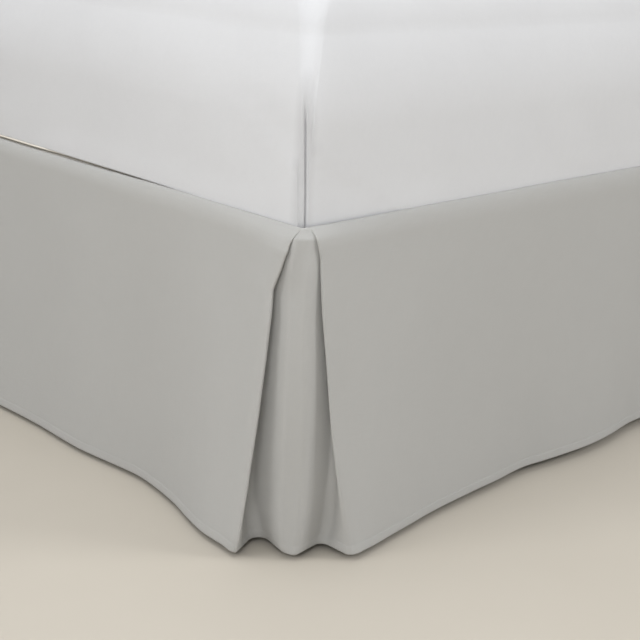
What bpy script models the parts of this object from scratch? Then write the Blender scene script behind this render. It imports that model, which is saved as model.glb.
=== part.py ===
# A tailored bed skirt with an open pleat at each foot corner, on the plain bed that it dresses.
# Metres, +Z up. +X runs across the bed, +Y from the foot end to the head end.
# The skirt is a deck cloth between base and mattress, and three drops sewn to its edge.
import math

import bpy
import numpy as np

for old in list(bpy.data.objects):
    bpy.data.objects.remove(old, do_unlink=True)

# Bed
BED_WIDTH = 1.524
BED_LENGTH = 2.032
BED_SHIFT_Y = 0.018
MATTRESS_BOTTOM = 0.3815
MATTRESS_TOP = 0.6315
MATTRESS_SET_BACK = 0.001
BASE_TOP = 0.3794
BASE_BOTTOM = 0.181
BASE_OUT = 0.004
BASE_EDGE_RADIUS = 0.020
BASE_CORNER_RADIUS = 0.030
LEG_HALF = 0.030
LEG_INSET = 0.150
LEG_TOP = 0.1807

# Skirt
CLOTH = 0.0015
DECK_BOTTOM = 0.3797
DECK_TOP = 0.3812
DECK_SET_BACK = 0.0012
DECK_CORNER_RADIUS = 0.012
SEAM_Z = 0.3804
SHOULDER_Z = 0.358
SHOULDER_OUT = 0.0095
SHOULDER_OUT_CORNER = 0.0170
SHOULDER_ANGLES = (0.0, 25.0, 48.0, 69.0, 90.0)
DROP_HEIGHTS = (0.335, 0.310, 0.282, 0.252, 0.220, 0.185, 0.150, 0.115, 0.080, 0.044, 0.008)
JOIN_GAP = 0.0008

# Corner pleat, seen from above at the foot right corner of the deck, in centimetres.
# x is away from the bed past its long side, y is towards the head end, both from the deck's corner.
# Each row is one fold of the cloth, in the order in which the cloth passes through the pleat.
PLEAT_LEVELS = ("seam", 0.358, 0.310, 0.200, 0.100, 0.008)
PLEAT_FOLDS = {
    # fold           seam         shoulder        upper           middle          low             hem
    "foot_fold":   ((-1.7, 0.0), (-0.20, -1.70), (-1.74, -1.97), (-2.40, -2.65), (-3.37, -3.35), (-4.84, -3.94)),
    "foot_inner":  ((-0.8, 0.0), (-0.50, -0.80), (-3.30, -0.96), (-4.60, -0.88), (-6.50, -0.60), (-7.25, 1.38)),
    "insert_left": ((-0.2, 0.0), (0.25, -0.76), (-0.58, -0.86), (-0.78, -0.88), (-1.42, -0.55), (-1.64, 0.30)),
    "corner":      ((0.0, 0.0), (0.98, -0.66), (1.38, 0.00), (1.20, 0.30), (0.78, 0.95), (-0.15, 0.62)),
    "side_inner":  ((0.0, 0.9), (0.95, 0.42), (0.90, 2.90), (0.82, 4.35), (0.42, 4.05), (-0.75, 4.55)),
    "side_fold":   ((0.0, 1.6), (1.70, 0.70), (1.84, 1.16), (2.28, 2.33), (2.88, 3.82), (3.83, 5.47)),
}
# Bend radius of each fold at the shoulder and at the hem, and columns of cloth round it, in centimetres.
PLEAT_BENDS = {
    "foot_fold":   (0.17, 0.30, 7),
    "foot_inner":  (0.17, 2.00, 7),
    "insert_left": (0.50, 1.40, 5),
    "corner":      (0.50, 1.10, 6),
    "side_inner":  (0.32, 1.00, 6),
    "side_fold":   (0.36, 1.25, 7),
}
COLUMNS_BETWEEN_FOLDS = (2, 3, 3, 3, 2)

# How far the hem hangs out from the deck's edge, in centimetres, along each drop.
# The first number is the distance from the foot corner.
FOOT_HEM_OUT = ((5.5, 3.90), (8, 3.92), (11, 3.82), (14, 3.25), (19, 1.98), (23, 1.36), (27.5, 0.95),
                (31.5, 1.32), (35, 1.82), (39, 2.35), (44, 2.46), (49, 2.48), (54, 2.75), (59, 3.12),
                (67, 3.05), (76.2, 2.30))
FOOT_HEM_OUT_LEFT = ((5.5, 3.60), (8, 3.70), (12, 3.45), (18, 2.30), (25, 1.45), (33, 1.30), (41, 1.90),
                     (50, 2.35), (58, 2.05), (67, 1.90), (76.2, 2.30))
SIDE_HEM_OUT = ((6.5, 4.05), (9, 3.62), (12, 3.15), (16, 2.60), (21, 2.00), (28, 1.60), (34, 1.35),
                (39, 0.98), (43, 1.38), (48, 1.85), (52, 2.08), (57, 1.80), (63, 0.95), (72, 0.90),
                (86, 1.75), (101, 2.25), (117, 1.60), (133, 1.10), (150, 1.85), (168, 2.20), (186, 1.40),
                (203.2, 1.65))
SIDE_HEM_OUT_LEFT = ((6.5, 3.75), (9, 3.50), (13, 2.90), (19, 1.95), (27, 1.50), (37, 1.75), (49, 2.15),
                     (62, 1.40), (76, 1.20), (92, 1.95), (110, 2.05), (128, 1.25), (147, 1.55), (166, 2.30),
                     (185, 1.70), (203.2, 1.45))
# How far the hem is lifted above the floor, in millimetres.
FOOT_HEM_LIFT = ((0, 8.0), (20, 7.0), (45, 6.0), (76.2, 6.0))
SIDE_HEM_LIFT = ((0, 8.0), (15, 9.0), (40, 12.0), (66, 14.5), (110, 11.0), (150, 8.5), (203.2, 9.5))
FOOT_COLUMNS = (8, 11, 14.5, 19, 23.5, 28, 32.5, 38, 44.5, 52, 60, 68)
SIDE_COLUMNS = (9.5, 12.5, 16, 20.5, 25, 29.5, 34, 38.5, 43, 48, 53.5, 59, 65, 73, 83, 95, 108, 122, 137, 152,
                167, 182, 193, 203.2)


def material(name, colour, roughness, metallic=0.0):
    mat = bpy.data.materials.new(name)
    mat.use_nodes = True
    shader = mat.node_tree.nodes["Principled BSDF"]
    shader.inputs["Base Color"].default_value = (*colour, 1.0)
    shader.inputs["Roughness"].default_value = roughness
    shader.inputs["Metallic"].default_value = metallic
    return mat


def add_object(name, points, faces, mat, smooth):
    mesh = bpy.data.meshes.new(name)
    mesh.from_pydata([tuple(map(float, p)) for p in points], [], faces)
    mesh.validate()
    obj = bpy.data.objects.new(name, mesh)
    bpy.context.scene.collection.objects.link(obj)
    obj.data.materials.append(mat)
    for polygon in mesh.polygons:
        polygon.use_smooth = smooth
    return obj


def through(table, where):
    """A smooth curve through a table of (place, value) rows."""
    xs = np.array([row[0] for row in table], float)
    ys = np.array([row[1] for row in table], float)
    chords = np.diff(ys) / np.diff(xs)
    slopes = np.concatenate([[chords[0]], (chords[1:] + chords[:-1]) / 2, [chords[-1]]])
    where = min(max(where, xs[0]), xs[-1])
    i = min(int(np.searchsorted(xs, where, side="right")) - 1, len(xs) - 2)
    step = xs[i + 1] - xs[i]
    t = (where - xs[i]) / step
    a = (1 + 2 * t) * (1 - t) ** 2
    b = t * (1 - t) ** 2
    c = t * t * (3 - 2 * t)
    d = t * t * (t - 1)
    return a * ys[i] + b * step * slopes[i] + c * ys[i + 1] + d * step * slopes[i + 1]


def row_list():
    """Every row of the drop as (share of the shoulder, share of the fall, height)."""
    rows = [(math.sin(math.radians(a)), 0.0, SHOULDER_Z + (SEAM_Z - SHOULDER_Z) * math.cos(math.radians(a)))
            for a in SHOULDER_ANGLES]
    fall = SHOULDER_Z - DROP_HEIGHTS[-1]
    rows += [(1.0, (SHOULDER_Z - z) / fall, z) for z in DROP_HEIGHTS]
    return rows


def fold_point(name, row, spread):
    """Where a fold is at a row, in metres. The spread makes the two pleats open by unlike amounts."""
    over, fall, height = row
    places = PLEAT_FOLDS[name]
    seam = np.array(places[0])
    shoulder = np.array(places[1])
    if fall == 0.0:
        return (seam + (shoulder - seam) * over) / 100
    levels = sorted(zip(PLEAT_LEVELS[1:], places[1:]))
    x = through([(z, p[0]) for z, p in levels], height)
    y = through([(z, p[1]) for z, p in levels], height)
    return (shoulder + (np.array([x, y]) - shoulder) * (1 + (spread - 1) * fall)) / 100


def bend(before, corner, after, radius, count):
    """Points on a round bend between two straight runs of cloth."""
    u = before - corner
    v = after - corner
    lu = np.linalg.norm(u)
    lv = np.linalg.norm(v)
    u = u / lu
    v = v / lv
    half = math.acos(min(max(float(u @ v), -1.0), 1.0)) / 2
    shorter = min(lu, lv)
    cut = min(max(radius / math.tan(half), 0.15 * shorter), 0.44 * shorter)
    middle = u + v
    if np.linalg.norm(middle) < 1e-3:
        return [corner + u * cut * (1 - 2 * k / (count - 1)) for k in range(count)]
    centre = corner + middle / np.linalg.norm(middle) * cut / math.cos(half)
    start = corner + u * cut - centre
    turn = math.pi - 2 * half
    sign = 1.0 if start[1] * u[0] - start[0] * u[1] > 0 else -1.0
    points = []
    for k in range(count):
        angle = sign * turn * k / (count - 1)
        c = math.cos(angle)
        s = math.sin(angle)
        points.append(centre + np.array([c * start[0] - s * start[1], s * start[0] + c * start[1]]))
    return points


def panel_out(table, place, row):
    """Distance of a drop from the deck's edge, in metres, at a place along it in centimetres."""
    over, fall, height = row
    top = SHOULDER_OUT + (SHOULDER_OUT_CORNER - SHOULDER_OUT) * math.exp(-(place / 9.0) ** 2)
    return top * over + (through(table, place) / 100 - top * over) * fall


def corner_path(row, foot_table, side_table, spread):
    """The cloth's path round one foot corner at one row, and the place where two drops are joined."""
    foot = [np.array([-s / 100, -panel_out(foot_table, s, row)]) for s in FOOT_COLUMNS]
    side = [np.array([panel_out(side_table, s, row), s / 100]) for s in SIDE_COLUMNS]
    names = list(PLEAT_FOLDS)
    folds = [fold_point(n, row, spread) for n in names]
    stops = [foot[0]] + folds + [side[0]]
    path = foot[::-1]
    join = 0
    for i, name in enumerate(names):
        top, hem, count = PLEAT_BENDS[name]
        radius = (top + (hem - top) * row[1] ** 1.5) / 100
        arc = bend(stops[i], stops[i + 1], stops[i + 2], radius, count)
        if i:
            last = path[-1]
            n = COLUMNS_BETWEEN_FOLDS[i - 1]
            path += [last + (arc[0] - last) * (k + 1) / (n + 1) for k in range(n)]
        if name == "foot_inner":
            join = len(path) - 1
        path += arc
    return path + side, join


def cloth_grid(columns_by_row, heights):
    """A grid of cloth points, one row of columns per height."""
    grid = np.zeros((len(columns_by_row), len(columns_by_row[0]), 3))
    for j, columns in enumerate(columns_by_row):
        grid[j, :, :2] = columns
    grid[:, :, 2] = heights
    return grid


def sheet_normals(grid):
    """Directions away from the bed on a grid whose rows run from the seam down to the hem."""
    down = np.gradient(grid, axis=0)
    along = np.gradient(grid, axis=1)
    normal = np.cross(down, along)
    return normal / np.linalg.norm(normal, axis=2, keepdims=True)


def thick_cloth(name, grid, normal, mat):
    """A closed sheet of even thickness on a grid of cloth points."""
    rows, cols = grid.shape[:2]
    outer = (grid + normal * CLOTH / 2).reshape(-1, 3)
    inner = (grid - normal * CLOTH / 2).reshape(-1, 3)
    size = rows * cols
    faces = []
    for j in range(rows - 1):
        for i in range(cols - 1):
            a = j * cols + i
            b = a + cols
            faces.append((a, b, b + 1, a + 1))
            faces.append((size + a + 1, size + b + 1, size + b, size + a))
    rim = [i for i in range(cols)]
    rim += [j * cols + cols - 1 for j in range(1, rows)]
    rim += [(rows - 1) * cols + i for i in range(cols - 2, -1, -1)]
    rim += [j * cols for j in range(rows - 2, 0, -1)]
    for k, a in enumerate(rim):
        b = rim[(k + 1) % len(rim)]
        faces.append((a, b, size + b, size + a))
    return add_object(name, np.concatenate([outer, inner]), faces, mat, True)


def to_bed(points, mirrored):
    """From the deck corner's own axes to the bed's axes."""
    moved = points.copy()
    moved[..., 0] += BED_WIDTH / 2
    moved[..., 1] += BED_SHIFT_Y - BED_LENGTH / 2
    if mirrored:
        moved[..., 0] *= -1
        moved = moved[:, ::-1]
    return moved


def corner_cloth(foot_table, side_table, spread):
    rows = row_list()
    paths = [corner_path(row, foot_table, side_table, spread) for row in rows]
    join = paths[0][1]
    columns = [path for path, _ in paths]
    heights = np.zeros((len(rows), len(columns[0])))
    for j, row in enumerate(rows):
        for i, point in enumerate(columns[j]):
            on_foot = i < join
            place = -point[0] * 100 if on_foot else point[1] * 100
            lift = through(FOOT_HEM_LIFT if on_foot else SIDE_HEM_LIFT, place) / 1000
            heights[j, i] = row[2] + (lift - DROP_HEIGHTS[-1]) * row[1]
    return cloth_grid(columns, heights), join


def joined_edge(grid, column, towards):
    """One end column moved along the cloth, so that two joined drops keep a hairline apart."""
    step = grid[:, towards] - grid[:, column]
    return grid[:, column] + step / np.linalg.norm(step, axis=1, keepdims=True) * JOIN_GAP / 2


def skirt_drops(mat):
    """The three drops, cut from one run of cloth that is joined inside each corner pleat."""
    right, join = corner_cloth(FOOT_HEM_OUT, SIDE_HEM_OUT, 1.0)
    left, _ = corner_cloth(FOOT_HEM_OUT_LEFT, SIDE_HEM_OUT_LEFT, 0.92)
    right = to_bed(right, False)
    left = to_bed(left, True)
    middle = (left[:, -1:] + right[:, :1]) / 2
    middle[..., 0] = 0
    strip = np.concatenate([left, middle, right], axis=1)
    normal = sheet_normals(strip)
    last = strip.shape[1] - 1
    left_join = left.shape[1] - 1 - join
    right_join = left.shape[1] + 1 + join
    cuts = (("drop_left", 0, left_join),
            ("drop_foot", left_join, right_join),
            ("drop_right", right_join, last))
    for name, first, end in cuts:
        grid = strip[:, first:end + 1].copy()
        if first:
            grid[:, 0] = joined_edge(strip, first, first + 1)
        if end < last:
            grid[:, -1] = joined_edge(strip, end, end - 1)
        thick_cloth(name, grid, normal[:, first:end + 1], mat)


def ring(half_x, half_y, radius, z, steps):
    """A rounded rectangle at one height."""
    points = []
    for quarter, (sx, sy) in enumerate(((1, 1), (-1, 1), (-1, -1), (1, -1))):
        for k in range(steps + 1):
            angle = math.pi / 2 * (quarter + k / steps)
            x = sx * (half_x - radius) + radius * math.cos(angle)
            y = sy * (half_y - radius) + radius * math.sin(angle)
            points.append((x, y, z))
    return points


def slab(name, half_x, half_y, profile, centre, mat, steps=5):
    """A solid through rounded rectangles. Each profile row is (inset, corner radius, height)."""
    rings = [ring(half_x - inset, half_y - inset, radius, z, steps) for inset, radius, z in profile]
    n = len(rings[0])
    points = [(x + centre[0], y + centre[1], z) for one in rings for x, y, z in one]
    faces = [tuple(range(n - 1, -1, -1)), tuple(range((len(rings) - 1) * n, len(rings) * n))]
    for j in range(len(rings) - 1):
        for i in range(n):
            k = (i + 1) % n
            faces.append((j * n + i, j * n + k, (j + 1) * n + k, (j + 1) * n + i))
    return add_object(name, points, faces, mat, False)


def edge_profile(bottom, top, low_radius, high_radius, low_corner, high_corner, steps=4):
    """Rows of a slab with a round lower and upper edge and a corner that softens towards the top."""
    rows = []
    for k in range(steps + 1):
        a = math.pi / 2 * k / steps
        rows.append((low_radius * (1 - math.sin(a)), bottom + low_radius * (1 - math.cos(a))))
    for k in range(steps + 1):
        a = math.pi / 2 * k / steps
        rows.append((high_radius * (1 - math.cos(a)), top - high_radius * (1 - math.sin(a))))
    profile = []
    for inset, z in rows:
        share = (z - bottom) / (top - bottom)
        corner = low_corner + (high_corner - low_corner) * share ** 2
        profile.append((inset, corner, z))
    return profile


def bed(cover, ticking, wood, deck_cloth):
    centre = (0.0, BED_SHIFT_Y)
    half_x = BED_WIDTH / 2
    half_y = BED_LENGTH / 2
    deck = ((0, DECK_CORNER_RADIUS, DECK_BOTTOM), (0, DECK_CORNER_RADIUS, DECK_TOP))
    slab("deck", half_x - DECK_SET_BACK, half_y - DECK_SET_BACK, deck, centre, deck_cloth)
    mattress = edge_profile(MATTRESS_BOTTOM, MATTRESS_TOP, 0.003, 0.110, 0.011, 0.026, 6)
    slab("mattress", half_x - MATTRESS_SET_BACK, half_y - MATTRESS_SET_BACK, mattress, centre, cover)
    base = edge_profile(BASE_BOTTOM, BASE_TOP, 0.006, BASE_EDGE_RADIUS, BASE_CORNER_RADIUS, BASE_CORNER_RADIUS)
    slab("bed_base", half_x + BASE_OUT, half_y + BASE_OUT, base, centre, ticking)
    legs = {
        "leg_foot_right": (half_x - LEG_INSET, LEG_INSET - half_y),
        "leg_foot_left": (LEG_INSET - half_x, LEG_INSET - half_y),
        "leg_head_right": (half_x - LEG_INSET, half_y - LEG_INSET),
        "leg_head_left": (LEG_INSET - half_x, half_y - LEG_INSET),
        "leg_middle": (0.0, 0.0),
    }
    leg = ((0.007, 0.004, 0.0), (0.004, 0.005, 0.002), (0.0, 0.005, LEG_TOP))
    for name, (x, y) in legs.items():
        slab(name, LEG_HALF, LEG_HALF, leg, (x, y + BED_SHIFT_Y), wood, 3)


def main():
    skirt_cloth = material("skirt_cloth", (0.46, 0.455, 0.43), 0.9)
    deck_cloth = material("deck_cloth", (0.72, 0.66, 0.53), 0.9)
    cover = material("mattress_cover", (0.80, 0.80, 0.79), 0.85)
    ticking = material("base_cover", (0.62, 0.60, 0.55), 0.85)
    wood = material("leg_wood", (0.32, 0.20, 0.11), 0.5)
    skirt_drops(skirt_cloth)
    bed(cover, ticking, wood, deck_cloth)


main()
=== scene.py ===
import math

import bpy
import numpy as np
from mathutils import Matrix


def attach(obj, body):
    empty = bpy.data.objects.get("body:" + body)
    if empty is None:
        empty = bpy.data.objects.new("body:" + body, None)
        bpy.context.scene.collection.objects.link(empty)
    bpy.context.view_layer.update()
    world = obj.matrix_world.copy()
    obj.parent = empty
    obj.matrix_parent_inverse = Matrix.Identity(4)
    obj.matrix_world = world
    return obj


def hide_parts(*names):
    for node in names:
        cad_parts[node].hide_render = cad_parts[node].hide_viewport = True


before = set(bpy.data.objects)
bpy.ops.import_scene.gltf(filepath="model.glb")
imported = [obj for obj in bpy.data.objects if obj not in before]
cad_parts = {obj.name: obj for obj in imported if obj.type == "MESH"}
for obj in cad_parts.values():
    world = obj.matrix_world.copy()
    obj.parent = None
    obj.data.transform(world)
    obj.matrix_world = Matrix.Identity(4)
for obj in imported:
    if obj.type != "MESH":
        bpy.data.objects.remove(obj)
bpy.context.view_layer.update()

# Sizes in metres, as in the part's source.
BED_WIDTH = 1.524
BED_LENGTH = 2.032
BED_SHIFT_Y = 0.018
MATTRESS_BOTTOM = 0.3815
MATTRESS_TOP = 0.6315
BASE_TOP = 0.3794
BASE_BOTTOM = 0.181
BASE_OUT = 0.004
LEG_TOP = 0.1807
LEG_INSET = 0.150
DECK_BOTTOM = 0.3797
DECK_TOP = 0.3812
SEAM_Z = 0.3806
SHOULDER_Z = 0.358
SHOULDER_OUT = 0.0095
SHOULDER_OUT_CORNER = 0.0170
CLOTH = 0.0011
HEM = 0.011
JOIN_GAP = 0.0004
HEM_Z = 0.008
STITCH_PITCH = 0.0034
STITCH_LENGTH = 0.0025
STITCH_RADIUS = 0.00022
COVER_RADIUS = 0.011
COVER_EDGE = 0.060
# Where the deck's rim starts to roll out along the foot, and where it has, from the corner.
RIM_ROLL = (0.44, 0.54)
# Points of a bed outline between its corners, across the bed and along it, and steps of a corner.
COUNT_X = 76
COUNT_Y = 100
QUARTER = 32
# Half width and height of the sections of a leg and of the glide under it.
LEG_SECTIONS = ((0.0225, 0.0035), (0.0240, 0.0045), (0.0246, 0.0065), (0.0270, 0.09), (0.0298, 0.172),
                (0.0300, 0.176), (0.0296, 0.1795), (0.0285, LEG_TOP))
GLIDE_SECTIONS = ((0.0200, 0.0), (0.0212, 0.0006), (0.0216, 0.0015), (0.0216, 0.0036))

# How far the seam dips below its usual height along the foot and the side, from the corner:
# centimetres along, millimetres down.
FOOT_DIP = ((0, -0.8), (5, -0.7), (10, -0.5), (15, -0.1), (20, -0.3), (24, 0.1), (30, 1.0), (36, 1.9),
            (42, 2.5), (50, 3.3), (60, 3.6), (76.2, 2.0))
SIDE_DIP = ((0, -0.8), (6, -0.7), (12, -1.2), (17, -1.7), (30, -2.1), (38, -2.7), (46, -3.0), (60, -3.0),
            (75, -1.2), (100, 1.5), (150, 1.4), (203.2, 2.0))
# How far the mattress's lower edge sags over the seam near each foot corner, in the same way.
FOOT_SAG = ((0, 2.3), (5, 2.4), (10, 2.4), (15, 1.8), (20, 0.9), (26, 0.2), (30, 0.0), (76.2, 0.0))
SIDE_SAG = ((0, 2.3), (6, 2.4), (12, 1.9), (17, 1.4), (30, 1.0), (38, 0.3), (46, 0.0), (203.2, 0.0))
# How far each panel swells out just before its fold, in millimetres: the foot's, then the side's.
SWELL = (1.7, 0.7)
# Height of each level of the pleat, and where each fold is there, seen from above, in centimetres.
# x is away from the long side of the bed, y is towards its head, both from the deck's corner.
LEVELS = (SEAM_Z, 0.3775, 0.3745, 0.3716, 0.366, 0.358,
          0.336, 0.315, 0.291, 0.233, 0.170, 0.090, 0.024, HEM_Z)
FOLDS = {
    "foot_fold": ((-0.3, 0.0), (-0.04, -0.48), (-0.01, -0.82), (0.02, -1.07), (0.06, -1.34),
                  (0.05, -1.6), (-0.92, -1.73), (-1.84, -1.94), (-1.72, -2.14), (-2.13, -2.47),
                  (-2.67, -2.82), (-3.47, -3.42), (-4.33, -3.99), (-4.84, -3.94)),
    "foot_inner": ((-0.2, 0.0), (-0.35, -0.26), (-0.55, -0.54), (-0.75, -0.77), (-1.15, -0.94),
                   (-1.65, -1.02), (-2.75, -1.0), (-3.9, -0.97), (-4.4, -0.95), (-5.4, -0.92),
                   (-6.8, -0.8), (-8.3, -0.45), (-7.65, 0.7), (-7.25, 1.38)),
    "insert_left": ((-0.1, 0.0), (0.07, -0.3), (0.12, -0.62), (0.18, -0.9), (0.16, -1.0),
                    (0.05, -1.04), (-0.3, -1.02), (-0.58, -0.85), (-0.6, -0.86), (-0.66, -0.92),
                    (-0.92, -0.8), (-1.5, -0.5), (-1.75, -0.1), (-1.64, 0.3)),
    "corner": ((0.0, 0.12), (0.33, 0.14), (0.56, 0.14), (0.86, 0.1), (0.98, 0.18), (1.1, 0.26),
               (1.36, 0.18), (1.38, 0.06), (1.36, 0.04), (1.28, 0.18), (1.1, 0.5), (0.72, 0.98),
               (0.16, 0.89), (-0.15, 0.62)),
    "side_inner": ((0.0, 0.6), (0.48, 0.95), (0.85, 1.12), (1.08, 1.3), (1.18, 1.6), (1.18, 2.0),
                   (1.02, 2.7), (0.9, 3.2), (0.85, 3.5), (0.85, 4.7), (0.8, 5.6), (0.3, 5.9),
                   (-0.6, 5.6), (-0.75, 5.2)),
    "side_fold": ((0.0, 1.05), (0.76, 0.86), (1.09, 0.74), (1.33, 0.6), (1.47, 0.53), (1.57, 0.52),
                  (1.66, 0.82), (1.77, 1.06), (1.89, 1.34), (2.14, 1.96), (2.4, 2.66), (2.94, 3.97),
                  (3.6, 5.19), (3.83, 5.47)),
}
# Bend radius at the shoulder and at the hem in centimetres, how late it grows, and columns round it.
BENDS = {
    "foot_fold": (0.10, 0.13, 1.5, 11),
    "foot_inner": (0.25, 2.40, 1.0, 15),
    "insert_left": (0.90, 1.50, 1.5, 13),
    "corner": (0.80, 1.10, 1.5, 15),
    "side_inner": (0.30, 1.00, 1.5, 11),
    "side_fold": (0.10, 0.90, 6.0, 11),
}
# Columns between one fold and the next.
BETWEEN = (8, 12, 12, 12, 10)
# How far the hem of each panel stands out from the deck's edge: centimetres along, centimetres out.
FOOT_OUT = ((5.5, 3.90), (8, 3.92), (11, 3.82), (14, 3.25), (19, 1.98), (23, 1.36), (27.5, 0.95),
            (31.5, 1.32), (35, 1.82), (39, 2.35), (44, 2.46), (49, 2.48), (54, 2.75), (59, 3.12),
            (67, 3.05), (76.2, 2.30))
FOOT_OUT_LEFT = ((5.5, 3.60), (8, 3.70), (12, 3.45), (18, 2.30), (25, 1.45), (33, 1.30), (41, 1.90),
                 (50, 2.35), (58, 2.05), (67, 1.90), (76.2, 2.30))
SIDE_OUT = ((6.5, 4.05), (9, 3.62), (12, 3.15), (16, 2.60), (21, 2.00), (28, 1.60), (34, 1.35),
            (39, 0.98), (43, 1.38), (48, 1.85), (52, 2.08), (57, 1.80), (63, 0.95), (72, 0.90),
            (86, 1.75), (101, 2.25), (117, 1.60), (133, 1.10), (150, 1.85), (168, 2.20),
            (186, 1.40), (203.2, 1.65))
SIDE_OUT_LEFT = ((6.5, 3.75), (9, 3.50), (13, 2.90), (19, 1.95), (27, 1.50), (37, 1.75), (49, 2.15),
                 (62, 1.40), (76, 1.20), (92, 1.95), (110, 2.05), (128, 1.25), (147, 1.55), (166, 2.30),
                 (185, 1.70), (203.2, 1.45))
# How high the hem hangs over the floor, in millimetres, in the same way.
FOOT_LIFT = ((0, 8.0), (20, 7.0), (45, 6.0), (76.2, 6.0))
SIDE_LIFT = ((0, 8.0), (15, 9.0), (40, 12.0), (66, 14.5), (110, 11.0), (150, 8.5), (203.2, 9.5))


# Tools

def through(table, where):
    """A smooth curve through a table of (place, value) rows, at an array of places."""
    xs = np.array([row[0] for row in table], float)
    ys = np.array([row[1] for row in table], float)
    chords = np.diff(ys) / np.diff(xs)
    slopes = np.concatenate([[chords[0]], (chords[1:] + chords[:-1]) / 2, [chords[-1]]])
    where = np.clip(np.asarray(where, float), xs[0], xs[-1])
    i = np.clip(np.searchsorted(xs, where, side="right") - 1, 0, len(xs) - 2)
    step = xs[i + 1] - xs[i]
    t = (where - xs[i]) / step
    value = (1 + 2 * t) * (1 - t) ** 2 * ys[i] + t * (1 - t) ** 2 * step * slopes[i]
    return value + t * t * (3 - 2 * t) * ys[i + 1] + t * t * (t - 1) * step * slopes[i + 1]


def soft_noise(u, v, cell_u, cell_v, seed):
    """Smooth noise between -1 and 1, the same at each run."""
    table = np.random.RandomState(seed).uniform(-1, 1, (64, 64))
    a = u / cell_u
    b = v / cell_v
    i = np.floor(a).astype(int)
    j = np.floor(b).astype(int)
    s = a - i
    t = b - j
    s = s * s * s * (s * (6 * s - 15) + 10)
    t = t * t * t * (t * (6 * t - 15) + 10)
    i0, i1, j0, j1 = i % 64, (i + 1) % 64, j % 64, (j + 1) % 64
    low = table[i0, j0] * (1 - s) + table[i1, j0] * s
    high = table[i0, j1] * (1 - s) + table[i1, j1] * s
    return low * (1 - t) + high * t


def bump(x, centre, width):
    return np.exp(-((x - centre) / width) ** 2)


def step_up(x, low, high):
    t = np.clip((x - low) / (high - low), 0, 1)
    return t * t * (3 - 2 * t)


def grid_normals(grid):
    normal = np.cross(np.gradient(grid, axis=0), np.gradient(grid, axis=1))
    return normal / np.maximum(np.linalg.norm(normal, axis=2, keepdims=True), 1e-12)


def new_mesh(name, points, faces, mat, uv=None):
    mesh = bpy.data.meshes.new(name)
    mesh.from_pydata(np.asarray(points, float).tolist(), [], faces)
    mesh.polygons.foreach_set("use_smooth", [True] * len(mesh.polygons))
    if uv is not None:
        layer = mesh.uv_layers.new(name="cloth")
        loops = np.zeros(len(mesh.loops), int)
        mesh.loops.foreach_get("vertex_index", loops)
        layer.data.foreach_set("uv", np.asarray(uv, float)[loops].ravel())
    mesh.update()
    obj = bpy.data.objects.new(name, mesh)
    bpy.context.scene.collection.objects.link(obj)
    mesh.materials.append(mat)
    return obj


def grid_faces(rows, cols, start=0, flip=False):
    j, i = np.meshgrid(np.arange(rows - 1), np.arange(cols - 1), indexing="ij")
    a = (start + j * cols + i).ravel()
    quads = np.stack([a, a + cols, a + cols + 1, a + 1], axis=1)
    if flip:
        quads = quads[:, ::-1]
    return quads.tolist()


def thick_sheet(name, grid, thickness, mat, uv):
    """A closed sheet on a grid of cloth points. The thickness is a number or one value per point."""
    normal = grid_normals(grid)
    rows, cols = grid.shape[:2]
    half = np.broadcast_to(np.asarray(thickness, float), (rows, cols))[..., None] / 2
    outer = (grid + normal * half).reshape(-1, 3)
    inner = (grid - normal * half).reshape(-1, 3)
    size = rows * cols
    faces = grid_faces(rows, cols) + grid_faces(rows, cols, size, True)
    rim = list(range(cols))
    rim += [j * cols + cols - 1 for j in range(1, rows)]
    rim += [(rows - 1) * cols + i for i in range(cols - 2, -1, -1)]
    rim += [j * cols for j in range(rows - 2, 0, -1)]
    for k, a in enumerate(rim):
        b = rim[(k + 1) % len(rim)]
        faces.append((a, b, size + b, size + a))
    flat = uv.reshape(-1, 2)
    return new_mesh(name, np.concatenate([outer, inner]), faces, mat, np.concatenate([flat, flat]))


# Shape of the drops

def row_list():
    rows = []
    for k in range(21):
        a = math.pi / 2 * k / 20
        rows.append((math.sin(a), 0.0, SHOULDER_Z + (SEAM_Z - SHOULDER_Z) * math.cos(a)))
    fall = SHOULDER_Z - HEM_Z
    heights = list(np.linspace(SHOULDER_Z, 0.0245, 62)[1:])
    heights += list(np.linspace(0.0245, HEM_Z, 12)[1:])
    rows += [(1.0, (SHOULDER_Z - z) / fall, z) for z in heights]
    return rows


def place_down(z):
    """How far down the cloth a height is: 0 at the seam and 1 at the shoulder, then in steps of 2 cm."""
    if z < SHOULDER_Z:
        return 1 + (SHOULDER_Z - z) / 0.02
    return math.acos(min((z - SHOULDER_Z) / (SEAM_Z - SHOULDER_Z), 1.0)) / (math.pi / 2)


def fold_point(name, row, spread):
    places = np.array(FOLDS[name])
    levels = np.array([place_down(z) for z in LEVELS])
    here = place_down(row[2])
    point = np.array([np.interp(here, levels, places[:, k]) for k in (0, 1)])
    if name != "foot_fold":
        point = np.array([through(list(zip(levels, places[:, k])), here) for k in (0, 1)])
    start = places[5]
    if row[1]:
        point = start + (point - start) * (1 + (spread - 1) * row[1])
    return point / 100


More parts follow.
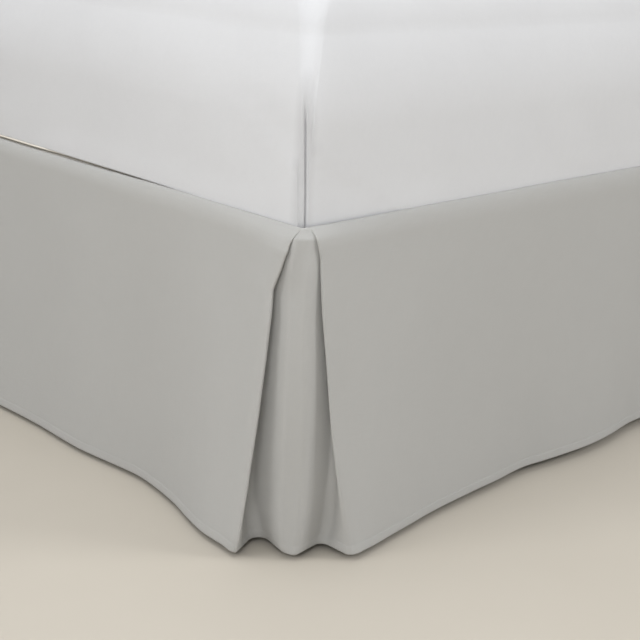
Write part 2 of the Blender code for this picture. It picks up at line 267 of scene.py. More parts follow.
def bend(before, corner, after, radius, count):
    u = before - corner
    v = after - corner
    lu = np.linalg.norm(u)
    lv = np.linalg.norm(v)
    u = u / lu
    v = v / lv
    half = math.acos(min(max(float(u @ v), -1.0), 1.0)) / 2
    shorter = min(lu, lv)
    cut = min(max(radius / math.tan(half), 0.05 * shorter), 0.46 * shorter)
    middle = u + v
    if np.linalg.norm(middle) < 1e-3:
        return [corner + u * cut * (1 - 2 * k / (count - 1)) for k in range(count)]
    centre = corner + middle / np.linalg.norm(middle) * cut / math.cos(half)
    start = corner + u * cut - centre
    turn = math.pi - 2 * half
    sign = 1.0 if start[1] * u[0] - start[0] * u[1] > 0 else -1.0
    points = []
    for k in range(count):
        angle = sign * turn * k / (count - 1)
        c = math.cos(angle)
        s = math.sin(angle)
        points.append(centre + np.array([c * start[0] - s * start[1], s * start[0] + c * start[1]]))
    return points


def panel_out(table, places, row):
    over, fall, height = row
    top = SHOULDER_OUT + (SHOULDER_OUT_CORNER - SHOULDER_OUT) * np.exp(-(places / 9.0) ** 2)
    top = top * over
    return top + (through(table, places) / 100 - top) * fall


def corner_cloth(foot_table, side_table, spread):
    """Grid of one foot corner with its two half drops, and the column where they are joined."""
    foot_s = np.concatenate([np.arange(8.0, 76.0, 0.8), [75.9]])
    side_s = np.concatenate([np.arange(9.0, 202.8, 0.85), [203.2]])
    rows = row_list()
    grid = []
    join = 0
    for row in rows:
        foot = np.stack([-foot_s / 100, -panel_out(foot_table, foot_s, row)], axis=1)
        side = np.stack([panel_out(side_table, side_s, row), side_s / 100], axis=1)
        names = list(FOLDS)
        stops = [foot[0]] + [fold_point(n, row, spread) for n in names] + [side[0]]
        path = list(foot[::-1])
        for i, name in enumerate(names):
            top, hem, late, count = BENDS[name]
            radius = (top + (hem - top) * row[1] ** late) / 100
            arc = bend(stops[i], stops[i + 1], stops[i + 2], radius, count)
            last = path[-1]
            if i:
                n = BETWEEN[i - 1]
                path += [last + (arc[0] - last) * (k + 1) / (n + 1) for k in range(n)]
            else:
                path += swollen(last, arc[0], row, SWELL[0])
            if name == "foot_inner":
                join = len(path) - BETWEEN[0] // 2
            path += arc
        path += swollen(side[0], path[-1], row, SWELL[1])[::-1]
        path += list(side)
        grid.append(path)
    plan = np.array(grid)
    full = np.zeros(plan.shape[:2] + (3,))
    full[..., :2] = plan
    fall = np.array([row[1] for row in rows])[:, None]
    height = np.array([row[2] for row in rows])[:, None]
    lift = np.empty(plan.shape[:2])
    lift[:, :join] = through(FOOT_LIFT, -plan[:, :join, 0] * 100)
    lift[:, join:] = through(SIDE_LIFT, plan[:, join:, 1] * 100)
    full[..., 2] = height + (lift / 1000 - HEM_Z) * fall
    dip = seam_dip(plan[0])[None, :]
    above = np.maximum(height - SHOULDER_Z, 0) / (SEAM_Z - SHOULDER_Z)
    full[..., 2] -= dip * above
    # Along the foot the top edge is turned in towards the deck, away from the corner.
    full[0, :join, 1] += 0.0009 * step_up(-plan[0, :join, 0], 0.10, 0.20)
    return full, join


def seam_dip(places):
    """How far the seam lies below its usual height, at places measured from the deck's corner."""
    foot = through(FOOT_DIP, -places[:, 0] * 100)
    side = through(SIDE_DIP, places[:, 1] * 100)
    return np.where(places[:, 0] < -0.001, foot, side) / 1000


def swollen(first, last, row, size):
    """Columns of a panel's last stretch before its fold, which swells out a little just before it."""
    along = last - first
    out = np.array([along[1], -along[0]]) / np.linalg.norm(along)
    if out[0] - out[1] < 0:
        out = -out
    points = []
    for t in (0.2, 0.4, 0.55, 0.66, 0.75, 0.82, 0.88, 0.93, 0.97):
        rise = 4.9 * t ** 4 * (1 - t) / 0.4
        points.append(first + along * t + out * size / 1000 * rise * row[0])
    return points


def to_bed(points, mirrored):
    moved = points.copy()
    moved[..., 0] += BED_WIDTH / 2
    moved[..., 1] += BED_SHIFT_Y - BED_LENGTH / 2
    if mirrored:
        moved[..., 0] *= -1
        moved = moved[:, ::-1]
    return moved


def lengths(grid):
    """Distance of each point along its row from the row's middle, and down from the seam, in metres."""
    along = np.zeros(grid.shape[:2])
    along[:, 1:] = np.cumsum(np.linalg.norm(np.diff(grid, axis=1), axis=2), axis=1)
    along -= along[:, along.shape[1] // 2][:, None]
    down = np.zeros(grid.shape[:2])
    down[1:] = np.cumsum(np.linalg.norm(np.diff(grid, axis=0), axis=2), axis=0)
    return along, down


def fine_folds(along, down, total):
    """Small unevenness of the hanging cloth, in metres out from its main folds."""
    up = total - down
    d = 0.0007 * soft_noise(along, down, 0.11, 0.30, 3) * step_up(down, 0.02, 0.10)
    d += 0.00022 * soft_noise(along, down, 0.028, 0.09, 5) * step_up(down, 0.01, 0.05)
    pucker = soft_noise(along, down, 0.009, 0.4, 7) + 0.6 * soft_noise(along, down, 0.021, 0.4, 8)
    d += 0.00028 * pucker * np.exp(-down / 0.010) * step_up(down, 0.0, 0.002)
    stitch = soft_noise(along, down, 0.0050, 0.4, 11)
    d += 0.00010 * stitch * bump(up, HEM, 0.004)
    d -= 0.00022 * bump(up, HEM + 0.0006, 0.0011)
    return d


def skirt_drops(mat, thread):
    right, join = corner_cloth(FOOT_OUT, SIDE_OUT, 1.0)
    left, _ = corner_cloth(FOOT_OUT_LEFT, SIDE_OUT_LEFT, 0.92)
    right = to_bed(right, False)
    left = to_bed(left, True)
    strip = np.concatenate([left, right], axis=1)
    along, down = lengths(strip)
    total = down[-1][None, :]
    strip = strip + grid_normals(strip) * fine_folds(along, down, total)[..., None]
    up = total - down
    # The hem is the cloth turned up twice, so it is a little thicker than the drop.
    thickness = CLOTH + 0.0006 * (1 - step_up(up, HEM - 0.0008, HEM + 0.0004))
    thickness = thickness * (1 - 0.45 * bump(up, 0.0, 0.0010))
    uv = np.stack([along, -down], axis=2)
    last = strip.shape[1] - 1
    left_join = left.shape[1] - 1 - join
    right_join = left.shape[1] + join
    cuts = (("cloth_left", "drop_left", 0, left_join),
            ("cloth_foot", "drop_foot", left_join, right_join),
            ("cloth_right", "drop_right", right_join, last))
    made = {}
    for name, node, first, end in cuts:
        part = strip[:, first:end + 1].copy()
        if first:
            step = part[:, 1] - part[:, 0]
            part[:, 0] += step / np.linalg.norm(step, axis=1, keepdims=True) * JOIN_GAP / 2
        if end < last:
            step = part[:, -2] - part[:, -1]
            part[:, -1] += step / np.linalg.norm(step, axis=1, keepdims=True) * JOIN_GAP / 2
        obj = thick_sheet(name, part, thickness[:, first:end + 1], mat, uv[:, first:end + 1])
        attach(obj, "root")
        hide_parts(node)
        made[name] = obj
    hem_stitches(strip, up, thickness, thread)
    return made


def hem_stitches(strip, up, thickness, mat):
    """One row of short stitches a hem's width above the edge, on the outer face."""
    normal = grid_normals(strip)
    row = int(np.argmin(np.abs(up[:, up.shape[1] // 2] - HEM)))
    line = strip[row] + normal[row] * (thickness[row][:, None] / 2 + 0.00006)
    out = normal[row]
    dist = np.concatenate([[0], np.cumsum(np.linalg.norm(np.diff(line, axis=0), axis=1))])
    starts = np.arange(0.004, dist[-1] - 0.004, STITCH_PITCH)
    points = []
    faces = []
    for s in starts:
        ring = []
        for k in range(4):
            at = s + STITCH_LENGTH * k / 3
            centre = np.array([np.interp(at, dist, line[:, c]) for c in range(3)])
            nrm = np.array([np.interp(at, dist, out[:, c]) for c in range(3)])
            size = STITCH_RADIUS * (0.35, 1.0, 1.0, 0.35)[k]
            side = np.array([0, 0, 1.0])
            sunk = 0.00014 if k in (0, 3) else 0.0
            for m in range(6):
                a = math.pi / 3 * m
                ring.append(centre - nrm * sunk + (nrm * math.cos(a) + side * math.sin(a)) * size)
        base = len(points)
        points += ring
        for k in range(3):
            for m in range(6):
                n = (m + 1) % 6
                low = base + k * 6
                faces.append((low + m, low + n, low + 6 + n, low + 6 + m))
        faces.append(tuple(base + 5 - m for m in range(6)))
        faces.append(tuple(base + 18 + m for m in range(6)))
    obj = new_mesh("hem_stitches", points, faces, mat)
    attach(obj, "root")


# Mattress, deck, base and legs

def outline(half_x, half_y, radius, nx, ny):
    """A rounded rectangle as rows of x, y and outward direction, with fixed counts of points."""
    points = []
    for q, (sx, sy) in enumerate(((1, 1), (-1, 1), (-1, -1), (1, -1))):
        cx = sx * (half_x - radius)
        cy = sy * (half_y - radius)
        for k in range(QUARTER + 1):
            a = math.pi / 2 * (q + k / QUARTER)
            c = math.cos(a)
            s = math.sin(a)
            points.append((cx + radius * c, cy + radius * s, c, s))
        n = nx if q in (0, 2) else ny
        length = 2 * ((half_x if q in (0, 2) else half_y) - radius)
        x0, y0, dx, dy = points[-1]
        for k in range(1, n):
            t = length * k / n
            points.append((x0 - dy * t, y0 + dx * t, dx, dy))
    return np.array(points)


def ring_solid(name, rings, mat):
    """A closed solid through rings of equal count, from the lowest to the highest."""
    n = len(rings[0])
    points = np.concatenate(rings)
    faces = []
    for j in range(len(rings) - 1):
        for i in range(n):
            k = (i + 1) % n
            faces.append((j * n + i, j * n + k, (j + 1) * n + k, (j + 1) * n + i))
    faces.append(tuple(range(n - 1, -1, -1)))
    faces.append(tuple(range((len(rings) - 1) * n, len(rings) * n)))
    return new_mesh(name, points, faces, mat)


def bed_ring(ring, inset, z):
    out = np.zeros((len(ring), 3))
    out[:, 0] = ring[:, 0] - ring[:, 2] * inset
    out[:, 1] = ring[:, 1] - ring[:, 3] * inset + BED_SHIFT_Y
    out[:, 2] = z
    return out


def shrunk(ring, share, z):
    out = np.zeros((len(ring), 3))
    out[:, 0] = ring[:, 0] * share
    out[:, 1] = ring[:, 1] * share + BED_SHIFT_Y
    out[:, 2] = z
    return out


# Small creases of the mattress cover: side, distance from the foot right corner, height above
# the seam, half height, half width and depth, in millimetres.
COVER_CREASES = (
    ("foot", 447, 9, 7, 1.6, 0.9), ("foot", 452, 12, 5, 1.3, -0.5), ("foot", 300, 6, 5, 2.0, 0.4),
    ("side", 118, 8, 6, 2.0, 0.8), ("side", 123, 10, 6, 1.6, -0.6), ("side", 262, 40, 9, 2.4, 0.7),
    ("side", 268, 36, 8, 2.0, -0.5), ("foot", 130, 30, 16, 3.0, 0.5),
)


def rim_sag(ring, half_x, half_y):
    """How far the mattress and the deck's rim sag at each point of an outline."""
    foot = through(FOOT_SAG, (half_x - np.abs(ring[:, 0])) * 100)
    side = through(SIDE_SAG, (half_y + ring[:, 1]) * 100)
    return np.where(ring[:, 3] < -0.9, foot, np.where(ring[:, 3] > 0.5, 0.0, side)) / 1000


def cover_rows():
    """How far in from the sides each ring of the cover lies, and its height, from the lowest up."""
    bottom = MATTRESS_BOTTOM
    top = MATTRESS_TOP
    rows = []
    for k in range(7):
        a = math.pi / 2 * k / 6
        rows.append((0.0016 * (1 - math.sin(a)) - 0.0012, bottom + 0.0016 * (1 - math.cos(a))))
    for z in np.linspace(bottom + 0.0016, top - COVER_EDGE, 44)[1:]:
        over = -0.0012 * (1 - step_up(z, bottom + 0.004, bottom + 0.04))
        rows.append((over + 0.024 * max((z - 0.48) / 0.10, 0.0) ** 2, z))
    lean_in = rows[-1][0]
    first = 0.30
    for k in range(1, 15):
        a = first + (math.pi / 2 - first) * k / 14
        rise = (math.sin(a) - math.sin(first)) / (1 - math.sin(first))
        inset = lean_in + COVER_EDGE * (math.cos(first) - math.cos(a))
        rows.append((inset, top - COVER_EDGE + COVER_EDGE * rise))
    return rows


def seam_distance(count, radius, half_x, half_y, lean):
    """How far each point of an outline lies from the nearest corner seam of the cover."""
    near = np.full(count, 9.0)
    arc = radius * math.pi / 2 / QUARTER
    across = (2 * half_x - 2 * radius) / COUNT_X
    along = (2 * half_y - 2 * radius) / COUNT_Y
    half = QUARTER / 2
    start = 0
    for q in range(4):
        k = np.arange(count) - (start + half + lean / arc)
        k = (k + count / 2) % count - count / 2
        step, back = (across, along) if q in (0, 2) else (along, across)
        ahead = np.where(k > half, half * arc + (k - half) * step, k * arc)
        behind = np.where(k < -half, half * arc + (-k - half) * back, -k * arc)
        near = np.minimum(near, np.where(k >= 0, ahead, behind))
        start += QUARTER + (COUNT_X if q in (0, 2) else COUNT_Y)
    return near


def cover_dent(ring, near, up, half_x, half_y):
    """How far in from its plain form each point of the cover lies, at a height over its bottom."""
    fade = 1 - step_up(up, 0.102, 0.134)
    dent = 0.0036 * bump(near, 0.0, 0.0014) * fade
    dent += 0.0030 * bump(near, 0.0, 0.010) * (1 - step_up(up, 0.09, 0.15))
    x = ring[:, 0]
    y = ring[:, 1]
    on_foot = ring[:, 3] < -0.9
    on_side = ring[:, 2] > 0.9
    along_foot = half_x - np.abs(x)
    tucked = on_foot * step_up(along_foot, 0.10, 0.20) * (1 - step_up(along_foot, 0.42, 0.50))
    rolled = on_foot * step_up(along_foot, *RIM_ROLL)
    dent += (0.0004 * (1 - tucked) + 0.0014 * rolled) * (1 - step_up(up, 0.004, 0.04))
    for side, place, height, tall, wide, depth in COVER_CREASES:
        at = (half_x - x) if side == "foot" else (half_y + y)
        where = on_foot if side == "foot" else on_side
        middle = place / 1000 + (up - height / 1000) * 0.25
        shape = bump(at, middle, wide / 1000) * bump(up, height / 1000, tall / 1000)
        dent += where * depth / 1000 * shape
    wave = soft_noise(x + 3.1, y + 0.7 + up * 0.4, 0.16, 0.19, 21)
    wave += 0.5 * soft_noise(x, y + up, 0.05, 0.06, 22)
    dent -= 0.0011 * wave * step_up(up, 0.004, 0.03)
    # The cover swells out between its corners.
    dent -= 0.0016 * np.sin(math.pi * min(up / 0.20, 1.0)) * step_up(near, 0.01, 0.15)
    return dent


def mattress_piece(mat):
    """A full, slightly crowned form with soft top edges and a crease at each corner of its cover."""
    half_x = BED_WIDTH / 2 - 0.001
    half_y = BED_LENGTH / 2 - 0.001
    bottom = MATTRESS_BOTTOM
    top = MATTRESS_TOP
    lowest = outline(half_x, half_y, COVER_RADIUS, COUNT_X, COUNT_Y)
    rings = [bed_ring(lowest, 0.0128, bottom)]
    for inset, z in cover_rows():
        share = (z - bottom) / (top - bottom)
        radius = COVER_RADIUS + 0.014 * step_up(share, 0.40, 1.0) + 0.5 * max(inset - 0.022, 0.0)
        ring = outline(half_x - inset, half_y - inset, radius, COUNT_X, COUNT_Y)
        up = z - bottom
        lean = 0.0034 - 0.0058 * up / 0.12
        near = seam_distance(len(ring), radius, half_x, half_y, lean)
        dent = cover_dent(ring, near, up, half_x, half_y)
        sag = rim_sag(ring, half_x, half_y) * (1 - step_up(up, 0.0, 0.03))
        rings.append(bed_ring(ring, dent, z - sag))
    last = rings[-1]
    middle = np.array([0.0, BED_SHIFT_Y])
    for f in np.linspace(0.97, 0.0, 22)[:-1]:
        ring = last.copy()
        ring[:, :2] = middle + (last[:, :2] - middle) * f
        soft = soft_noise(ring[:, 0] + 5, ring[:, 1] + 2, 0.21, 0.24, 31)
        ring[:, 2] = top + 0.005 * (1 - f ** 2) + 0.0016 * soft * (1 - f ** 6)
        rings.append(ring)
    obj = ring_solid("mattress_cover", rings, mat)
    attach(obj, "root")
    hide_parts("mattress")


def deck_piece(mat):
    half_x = BED_WIDTH / 2 - 0.0018
    half_y = BED_LENGTH / 2 - 0.0018
    ring = outline(half_x, half_y, 0.010, 300, 400)
    wave = 0.0002 * soft_noise(ring[:, 0] + 7, ring[:, 1] + 9, 0.035, 0.035, 41)
    # Far along the foot the rim rolls out over the seam. Nearer the corner it lies further in.
    along_foot = half_x - np.abs(ring[:, 0])
    on_foot = ring[:, 3] < -0.9
    rolled = on_foot * step_up(along_foot, *RIM_ROLL)
    wave = wave + 0.0012 * on_foot * step_up(along_foot, 0.06, 0.14) * (1 - rolled) - 0.0023 * rolled
    sag = rim_sag(ring, half_x, half_y)
    rings = [shrunk(ring, 0.5, DECK_BOTTOM), bed_ring(ring, 0.0118, DECK_BOTTOM)]
    for inset, z, share in ((0.0012, DECK_BOTTOM, 0.0), (0.0003, DECK_BOTTOM + 0.0003, 0.1),
                            (0.0, DECK_BOTTOM + 0.00075, 0.4), (0.0003, DECK_TOP - 0.0003, 0.9),
                            (0.0009, DECK_TOP, 1.0), (0.0015, DECK_TOP - 0.0001, 0.7),
                            (0.0022, DECK_TOP, 0.0)):
        rings.append(bed_ring(ring, inset + wave, z - sag + 0.0012 * share * rolled))
    rings.append(bed_ring(ring, 0.0118, DECK_TOP))
    rings.append(shrunk(ring, 0.5, DECK_TOP))
    obj = ring_solid("deck_panel", rings, mat)
    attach(obj, "root")
    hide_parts("deck")


def base_piece(mat):
    half_x = BED_WIDTH / 2 + BASE_OUT
    half_y = BED_LENGTH / 2 + BASE_OUT
    ring = outline(half_x, half_y, 0.030, COUNT_X, COUNT_Y)
    rings = [shrunk(ring, 0.5, BASE_BOTTOM)]
    for k in range(5):
        a = math.pi / 2 * k / 4
        rings.append(bed_ring(ring, 0.006 * (1 - math.sin(a)), BASE_BOTTOM + 0.006 * (1 - math.cos(a))))
    for z in np.linspace(BASE_BOTTOM + 0.006, BASE_TOP - 0.020, 16)[1:]:
        slack = 0.0006 * soft_noise(ring[:, 0] + 3, ring[:, 1] + z * 3, 0.13, 0.11, 51)
        rings.append(bed_ring(ring, 0.0005 + slack, z))
    for k in range(1, 9):
        a = math.pi / 2 * k / 8
        rings.append(bed_ring(ring, 0.020 * (1 - math.cos(a)), BASE_TOP - 0.020 * (1 - math.sin(a))))
    rings.append(shrunk(ring, 0.5, BASE_TOP))
    obj = ring_solid("base_cover", rings, mat)
    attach(obj, "root")
    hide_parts("bed_base")
    # A corded welt round the lower edge of the base.
    centre = outline(half_x - 0.0035, half_y - 0.0035, 0.028, COUNT_X, COUNT_Y)
    round_it = 10
    rings = []
    for m in range(round_it):
        a = 2 * math.pi * m / round_it
        height = BASE_BOTTOM + 0.0042 + 0.0026 * math.sin(a)
        rings.append(bed_ring(centre, -0.0026 * math.cos(a), height))
    n = len(centre)
    faces = []
    for m in range(round_it):
        a = m * n
        b = ((m + 1) % round_it) * n
        for i in range(n):
            k = (i + 1) % n
            faces.append((a + i, a + k, b + k, b + i))
    welt = new_mesh("base_welt", np.concatenate(rings), faces, mat)
    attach(welt, "root")


def square_rings(sections, x, y, radius, count):
    """Rings of a square section with rounded corners, at a place seen from above."""
    rings = []
    for half, z in sections:
        ring = outline(half, half, radius, count, count)
        points = np.zeros((len(ring), 3))
        points[:, 0] = ring[:, 0] + x
        points[:, 1] = ring[:, 1] + y + BED_SHIFT_Y
        points[:, 2] = z
        rings.append(points)
    return rings


def legs(mat, glide_mat):
    half_x = BED_WIDTH / 2
    half_y = BED_LENGTH / 2
    places = {
        "leg_foot_right": (half_x - LEG_INSET, LEG_INSET - half_y),
        "leg_foot_left": (LEG_INSET - half_x, LEG_INSET - half_y),
        "leg_head_right": (half_x - LEG_INSET, half_y - LEG_INSET),
        "leg_head_left": (LEG_INSET - half_x, half_y - LEG_INSET),
        "leg_middle": (0.0, 0.0),
    }
    for name, (x, y) in places.items():
        obj = ring_solid(name + "_turned", square_rings(LEG_SECTIONS, x, y, 0.004, 6), mat)
        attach(obj, "root")
        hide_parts(name)
        glide = ring_solid(name + "_glide", square_rings(GLIDE_SECTIONS, x, y, 0.010, 4), glide_mat)
        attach(glide, "root")


# Materials

class Nodes:
    """Short calls for building a material's nodes."""

    def __init__(self, name):
        self.mat = bpy.data.materials.new(name)
        self.mat.use_nodes = True
        self.tree = self.mat.node_tree
        self.shader = self.tree.nodes["Principled BSDF"]

    def add(self, kind, **values):
        node = self.tree.nodes.new(kind)
        for key, value in values.items():
            setattr(node, key, value)
        return node

    def link(self, a, b):
        self.tree.links.new(a, b)

    def noise(self, vector, scale, detail, rough):
        node = self.add("ShaderNodeTexNoise")
        node.inputs["Scale"].default_value = scale
        node.inputs["Detail"].default_value = detail
        node.inputs["Roughness"].default_value = rough
        self.link(vector, node.inputs["Vector"])
        return node.outputs["Fac"]

    def stretched(self, vector, scale):
        node = self.add("ShaderNodeMapping")
        node.inputs["Scale"].default_value = scale
        self.link(vector, node.inputs["Vector"])
        return node.outputs["Vector"]

    def math(self, operation, a, b=0.0):
        node = self.add("ShaderNodeMath", operation=operation)
        for k, value in enumerate((a, b)):
            if isinstance(value, (int, float)):
                node.inputs[k].default_value = value
            else:
                self.link(value, node.inputs[k])
        return node.outputs[0]

    def corner_distance(self, source):
        """Distance to the nearer foot corner's upright seam, in steps of 10 cm."""
        parts = self.add("ShaderNodeSeparateXYZ")
        self.link(source, parts.inputs["Vector"])
        x = self.math("SUBTRACT", self.math("ABSOLUTE", parts.outputs["X"]), BED_WIDTH / 2 - 0.006)
        y = self.math("SUBTRACT", parts.outputs["Y"], BED_SHIFT_Y - BED_LENGTH / 2 + 0.002)
        square = self.math("ADD", self.math("MULTIPLY", x, x), self.math("MULTIPLY", y, y))
        return self.math("MULTIPLY", self.math("SQRT", square), 10.0)

    def ramp(self, fac, stops):
        node = self.add("ShaderNodeValToRGB")
        ends = node.color_ramp.elements
        for k, (place, colour) in enumerate(stops):
            e = ends[k] if k < 2 else ends.new(place)
            e.position = place
            e.color = (*colour, 1.0)
        self.link(fac, node.inputs["Fac"])
        return node.outputs["Color"]

    def bump(self, height, distance, strength, normal=None):
        node = self.add("ShaderNodeBump")
        node.inputs["Strength"].default_value = strength
        node.inputs["Distance"].default_value = distance
        self.link(height, node.inputs["Height"])
        if normal is not None:
            self.link(normal, node.inputs["Normal"])
        return node.outputs["Normal"]


def woven(name, colour, spread, thread, rough, bump_size, sheen, coords="uv"):
    """Plain weave: two sets of threads, uneven yarns along and across, and faint cloudy colour."""
    n = Nodes(name)
    if coords == "uv":
        source = n.add("ShaderNodeUVMap", uv_map="cloth").outputs["UV"]
    else:
        source = n.add("ShaderNodeTexCoord").outputs["Object"]
    split = n.add("ShaderNodeSeparateXYZ")
    n.link(source, split.inputs[0])
    u = split.outputs[0]
    v = split.outputs[1]
    k = math.pi / thread
    wave_u = n.math("SINE", n.math("MULTIPLY", u, k))
    wave_v = n.math("SINE", n.math("MULTIPLY", v, k))
    warp = n.math("ABSOLUTE", wave_u)
    weft = n.math("ABSOLUTE", wave_v)
    check = n.math("MULTIPLY", wave_u, wave_v)
    over = n.math("ADD", n.math("MULTIPLY", check, 0.5), 0.5)
    a = n.math("MULTIPLY", warp, over)
    b = n.math("MULTIPLY", weft, n.math("SUBTRACT", 1.0, over))
    weave = n.math("ADD", a, b)
    along = n.noise(n.stretched(source, (900, 38, 900)), 1.0, 3.0, 0.6)
    across = n.noise(n.stretched(source, (45, 900, 45)), 1.0, 3.0, 0.6)
    yarn = n.math("ADD", along, across)
    cloud = n.noise(source, 7.0, 4.0, 0.6)
    fleck = n.noise(source, 60.0, 3.0, 0.6)
    mix = n.math("ADD", n.math("MULTIPLY", yarn, 0.30), n.math("MULTIPLY", cloud, 0.25))
    mix = n.math("ADD", mix, n.math("MULTIPLY", fleck, 0.15))
    low = tuple(c * (1 - spread) for c in colour)
    high = tuple(c * (1 + spread) for c in colour)
    n.link(n.ramp(mix, ((0.28, low), (0.72, high))), n.shader.inputs["Base Color"])
    wear = n.math("ADD", n.math("MULTIPLY", fleck, 0.12), rough - 0.06)
    n.link(wear, n.shader.inputs["Roughness"])
    height = n.math("ADD", weave, n.math("MULTIPLY", yarn, 0.9))
    rumple = n.bump(n.noise(n.stretched(source, (30, 14, 30)), 1.0, 3.0, 0.5), 0.0012, 0.35)
    n.link(n.bump(height, bump_size, 0.6, rumple), n.shader.inputs["Normal"])
    n.shader.inputs["Specular IOR Level"].default_value = 0.25
    n.shader.inputs["Sheen Weight"].default_value = sheen
    n.shader.inputs["Sheen Roughness"].default_value = 0.6
    return n.mat


def knitted(name, colour):
    n = Nodes(name)
    source = n.add("ShaderNodeTexCoord").outputs["Object"]
    fine = n.noise(source, 900.0, 2.0, 0.6)
    mid = n.noise(source, 120.0, 3.0, 0.6)
    cloud = n.noise(source, 5.0, 4.0, 0.6)
    mix = n.math("ADD", n.math("MULTIPLY", fine, 0.25), n.math("MULTIPLY", mid, 0.2))
    mix = n.math("ADD", mix, n.math("MULTIPLY", cloud, 0.55))
    low = tuple(c * 0.965 for c in colour)
    high = tuple(min(c * 1.03, 1.0) for c in colour)
    # Painted shade: the cover's colour is made a little darker, down to 0.88 of itself, within about 5
    # to 16 mm of each foot corner's upright seam, standing in for the shade beside the seam's crease.
    shade = n.add("ShaderNodeVectorMath", operation="SCALE")
    n.link(n.ramp(mix, ((0.30, low), (0.70, high))), shade.inputs[0])
    n.link(n.ramp(n.corner_distance(source), ((0.05, (0.88, 0.88, 0.88)), (0.16, (1.0, 1.0, 1.0)))),
           shade.inputs["Scale"])
    n.link(shade.outputs["Vector"], n.shader.inputs["Base Color"])
    n.link(n.math("ADD", n.math("MULTIPLY", mid, 0.1), 0.8), n.shader.inputs["Roughness"])
    soft = n.bump(n.noise(source, 18.0, 3.0, 0.5), 0.0015, 0.3)
    n.link(n.bump(n.math("ADD", fine, mid), 0.00025, 0.5, soft), n.shader.inputs["Normal"])
    n.shader.inputs["Specular IOR Level"].default_value = 0.25
    n.shader.inputs["Sheen Weight"].default_value = 0.15
    n.shader.inputs["Sheen Roughness"].default_value = 0.5
    return n.mat


def wood(name):
    n = Nodes(name)
    source = n.add("ShaderNodeTexCoord").outputs["Object"]
    grain = n.noise(n.stretched(source, (95, 95, 5)), 1.0, 6.0, 0.65)
    pore = n.noise(n.stretched(source, (700, 700, 22)), 1.0, 3.0, 0.6)
    mix = n.math("ADD", n.math("MULTIPLY", grain, 0.75), n.math("MULTIPLY", pore, 0.25))
    dark = (0.150, 0.082, 0.040)
    light = (0.380, 0.235, 0.125)
    n.link(n.ramp(mix, ((0.30, dark), (0.68, light))), n.shader.inputs["Base Color"])
    n.link(n.math("ADD", n.math("MULTIPLY", pore, 0.22), 0.34), n.shader.inputs["Roughness"])
    n.link(n.bump(mix, 0.0004, 0.5), n.shader.inputs["Normal"])
    return n.mat


def felt(name, colour):
    n = Nodes(name)
    source = n.add("ShaderNodeTexCoord").outputs["Object"]
    fibre = n.noise(source, 1500.0, 3.0, 0.7)
    low = tuple(c * 0.7 for c in colour)
    n.link(n.ramp(fibre, ((0.3, low), (0.7, colour))), n.shader.inputs["Base Color"])
    n.link(n.math("ADD", n.math("MULTIPLY", fibre, 0.2), 0.75), n.shader.inputs["Roughness"])
    n.link(n.bump(fibre, 0.0003, 0.5), n.shader.inputs["Normal"])
    return n.mat


def floor_material():
    n = Nodes("floor_pale")
    source = n.add("ShaderNodeTexCoord").outputs["Object"]
    mix = n.noise(source, 3.0, 3.0, 0.5)
    stops = ((0.3, (0.530, 0.490, 0.425)), (0.7, (0.550, 0.510, 0.445)))
    n.link(n.ramp(mix, stops), n.shader.inputs["Base Color"])
    n.shader.inputs["Roughness"].default_value = 0.6
    n.shader.inputs["Specular IOR Level"].default_value = 0.2
    return n.mat


# Camera and light

def camera():
    focal = 1255.74
    yaw, pitch, roll = (math.radians(a) for a in (-47.0, 18.1, 2.37))
    place = np.array([0.9155 + BED_WIDTH / 2, -0.8244 + BED_SHIFT_Y - BED_LENGTH / 2, 0.6880])
    heading = np.array([math.sin(yaw), math.cos(yaw), 0.0])
    ahead = math.cos(pitch) * heading - math.sin(pitch) * np.array([0, 0, 1.0])
    right = np.array([math.cos(yaw), -math.sin(yaw), 0.0])
    up = np.cross(right, ahead)
    c = math.cos(roll)
    s = math.sin(roll)
    r = c * right + s * up
    u = -s * right + c * up
    data = bpy.data.cameras.new("camera")
    data.sensor_width = 36
    data.lens = focal * 36 / 640
    data.clip_start = 0.05
    data.clip_end = 60
    obj = bpy.data.objects.new("camera", data)
    bpy.context.scene.collection.objects.link(obj)
    obj.matrix_world = Matrix(((r[0], u[0], -ahead[0], place[0]), (r[1], u[1], -ahead[1], place[1]),
                               (r[2], u[2], -ahead[2], place[2]), (0, 0, 0, 1)))
    bpy.context.scene.camera = obj


def area_light(name, place, target, size, power, colour):
    data = bpy.data.lights.new(name, "AREA")
    data.shape = "RECTANGLE"
    data.size = size[0]
    data.size_y = size[1]
    data.energy = power
    data.color = colour
    obj = bpy.data.objects.new(name, data)
    bpy.context.scene.collection.objects.link(obj)
    obj.location = place
    delta = np.array(target, float) - np.array(place, float)
    z = -delta / np.linalg.norm(delta)
    x = np.cross([0, 0, 1.0], z)
    x /= np.linalg.norm(x)
    y = np.cross(z, x)
    direction = Matrix((x, y, z)).transposed()
    obj.rotation_euler = direction.to_euler()


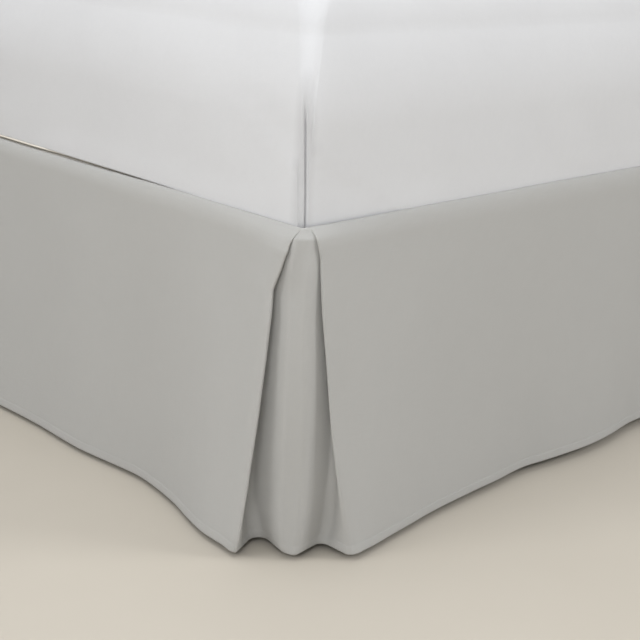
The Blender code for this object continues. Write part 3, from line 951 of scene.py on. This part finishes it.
def studio():
    world = bpy.data.worlds.new("studio")
    bpy.context.scene.world = world
    world.use_nodes = True
    back = world.node_tree.nodes["Background"]
    back.inputs["Color"].default_value = (0.97, 0.985, 1.0, 1)
    back.inputs["Strength"].default_value = 0.335
    x = BED_WIDTH / 2
    y = BED_SHIFT_Y - BED_LENGTH / 2
    z = 0.2
    corner = (x, y, z)
    over_corner = (x - 0.1, y - 0.3, z)
    warm = (1.0, 0.995, 0.985)
    white = (1.0, 1.0, 1.0)
    area_light("key_left", (x - 1.28, y - 4.0, z + 2.4), corner, (1.6, 1.6), 52, warm)
    area_light("key_right", (x + 2.6, y + 2.3, z + 1.9), corner, (1.2, 1.2), 56, warm)
    area_light("fill", (x + 1.1, y - 1.35, z + 1.1), corner, (1.0, 1.0), 16.5, white)
    area_light("overhead", (x - 0.2, y - 0.5, z + 2.6), over_corner, (2.2, 2.2), 35, white)
    bpy.context.scene.view_settings.view_transform = "Standard"


def floor():
    mesh = bpy.data.meshes.new("floor")
    mesh.from_pydata([(-14, -14, 0), (14, -14, 0), (14, 14, 0), (-14, 14, 0)], [], [(0, 1, 2, 3)])
    obj = bpy.data.objects.new("floor", mesh)
    bpy.context.scene.collection.objects.link(obj)
    mesh.materials.append(floor_material())


def main():
    cloth = woven("skirt_weave", (0.452, 0.450, 0.437), 0.035, 0.00055, 0.9, 0.00022, 0.12)
    thread = woven("thread", (0.470, 0.468, 0.445), 0.03, 0.0008, 0.8, 0.00008, 0.1, "object")
    deck_cloth = woven("deck_weave", (0.78, 0.74, 0.66), 0.03, 0.0007, 0.9, 0.0001, 0.1, "object")
    ticking = woven("base_ticking", (0.62, 0.60, 0.55), 0.04, 0.0012, 0.88, 0.0002, 0.1, "object")
    cover = knitted("cover_knit", (0.645, 0.650, 0.665))
    drops = skirt_drops(cloth, thread)
    mattress_piece(cover)
    deck_piece(deck_cloth)
    base_piece(ticking)
    legs(wood("leg_grain"), felt("glide_felt", (0.16, 0.15, 0.14)))
    floor()
    studio()
    camera()


main()
